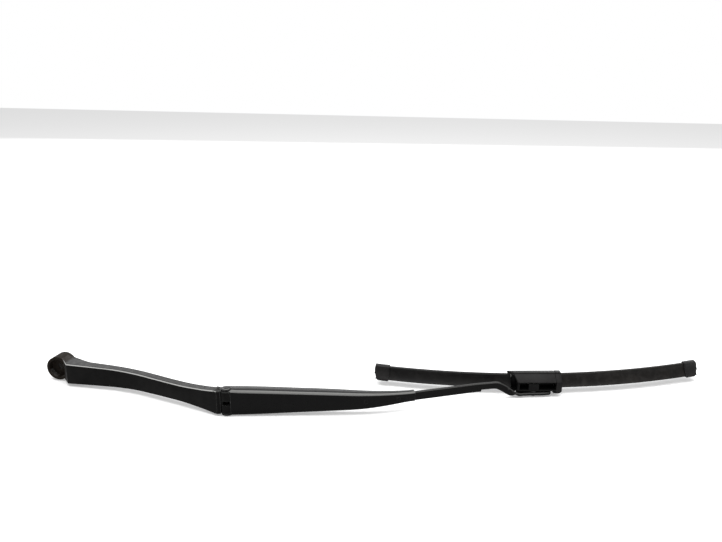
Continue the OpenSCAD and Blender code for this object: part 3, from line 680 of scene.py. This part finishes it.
def knurl_tree():
    """Fine teeth down the taper that grips the spindle's cone."""
    tree, size, end = tree_of("taper_knurl", KNURL)
    foot = vector(tree, size["Inner Radius"], size["From"])
    head = vector(tree, size["Mouth Radius"], size["To"])
    line = add(tree, "GeometryNodeCurvePrimitiveLine", Start=foot, End=head).outputs[0]
    tooth = wire_along(tree, line, circle(tree, TOOTH_SIDES, size["Tooth"]))
    points = add(tree, "GeometryNodePoints", Count=size["Teeth"]).outputs[0]
    number = tree.nodes.new("GeometryNodeInputIndex").outputs[0]
    angle = maths(tree, "DIVIDE", maths(tree, "MULTIPLY", number, 2 * math.pi), size["Teeth"])
    turn = vector(tree, 0.0, angle)
    ring = add(tree, "GeometryNodeInstanceOnPoints", Points=points, Instance=tooth, Rotation=turn).outputs[0]
    finish_tree(tree, ring, FINISH["die_cast"], end, smooth_faces=False)
    return tree


knurl = grown("taper_knurl", knurl_tree(), KNURL, Matrix())
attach(knurl, "head")


# White table, white room and two softboxes
WHITE = (1, 1, 1, 1)
PAPER = (0.8, 0.8, 0.8, 1)
PAPER_GLOW = 0.3
ROOM_LIGHT = 0.5
ROOM_SEEN = 1.0
TABLE_HALF = 3
LAMPS_AIM = Vector((0.38, 0.02, 0))


def seen_rays(tree):
    """1 for the rays that see the white room itself: camera, glossy and transmission rays."""
    paths = add(tree, "ShaderNodeLightPath").outputs
    seen = maths(tree, "MAXIMUM", paths["Is Camera Ray"], paths["Is Transmission Ray"])
    return maths(tree, "MAXIMUM", seen, paths["Is Glossy Ray"])


def white_table():
    """The table top at the height of the part's lowest point."""
    level = cad_box[0].z
    corners = [(x, y, level) for x, y in rectangle(-TABLE_HALF, TABLE_HALF, -TABLE_HALF, TABLE_HALF)]
    data = bpy.data.meshes.new("table")
    data.from_pydata(corners, [], [(0, 1, 2, 3)])
    table = new_object("table", data)
    white = bpy.data.materials.new("white_table")
    white.use_nodes = True
    tree = white.node_tree
    tree.nodes.clear()
    paper = add(tree, "ShaderNodeBsdfDiffuse", Color=PAPER).outputs[0]
    glow = add(tree, "ShaderNodeEmission", Color=WHITE, Strength=PAPER_GLOW).outputs[0]
    both = add(tree, "ShaderNodeAddShader", i0=paper, i1=glow).outputs[0]
    mixed = add(tree, "ShaderNodeMixShader", i0=seen_rays(tree), i1=paper, i2=both).outputs[0]
    add(tree, "ShaderNodeOutputMaterial", Surface=mixed)
    data.materials.append(white)


def white_room():
    world = bpy.data.worlds.new("white_room")
    bpy.context.scene.world = world
    world.use_nodes = True
    tree = world.node_tree
    tree.nodes.clear()
    mix = add(tree, "ShaderNodeMix", {"data_type": "FLOAT"}, i0=seen_rays(tree), i2=ROOM_LIGHT, i3=ROOM_SEEN)
    sky = add(tree, "ShaderNodeBackground", Color=WHITE, Strength=mix.outputs[0]).outputs[0]
    add(tree, "ShaderNodeOutputWorld", Surface=sky)


def softbox(name, at, size, power):
    """A lit panel aimed at the middle of the part."""
    light = bpy.data.lights.new(name, "AREA")
    light.shape = "RECTANGLE"
    light.size, light.size_y = size
    light.energy = power
    lamp = new_object(name, light)
    lamp.location = at
    lamp.rotation_mode = "QUATERNION"
    lamp.rotation_quaternion = (LAMPS_AIM - Vector(at)).to_track_quat("-Z", "Y")


white_table()
white_room()
softbox("overhead_softbox", (0.38, 0, 1.6), (2.4, 1.6), 44)
softbox("back_softbox", (0.2, 1.9, 0.66), (3.2, 1.2), 26)
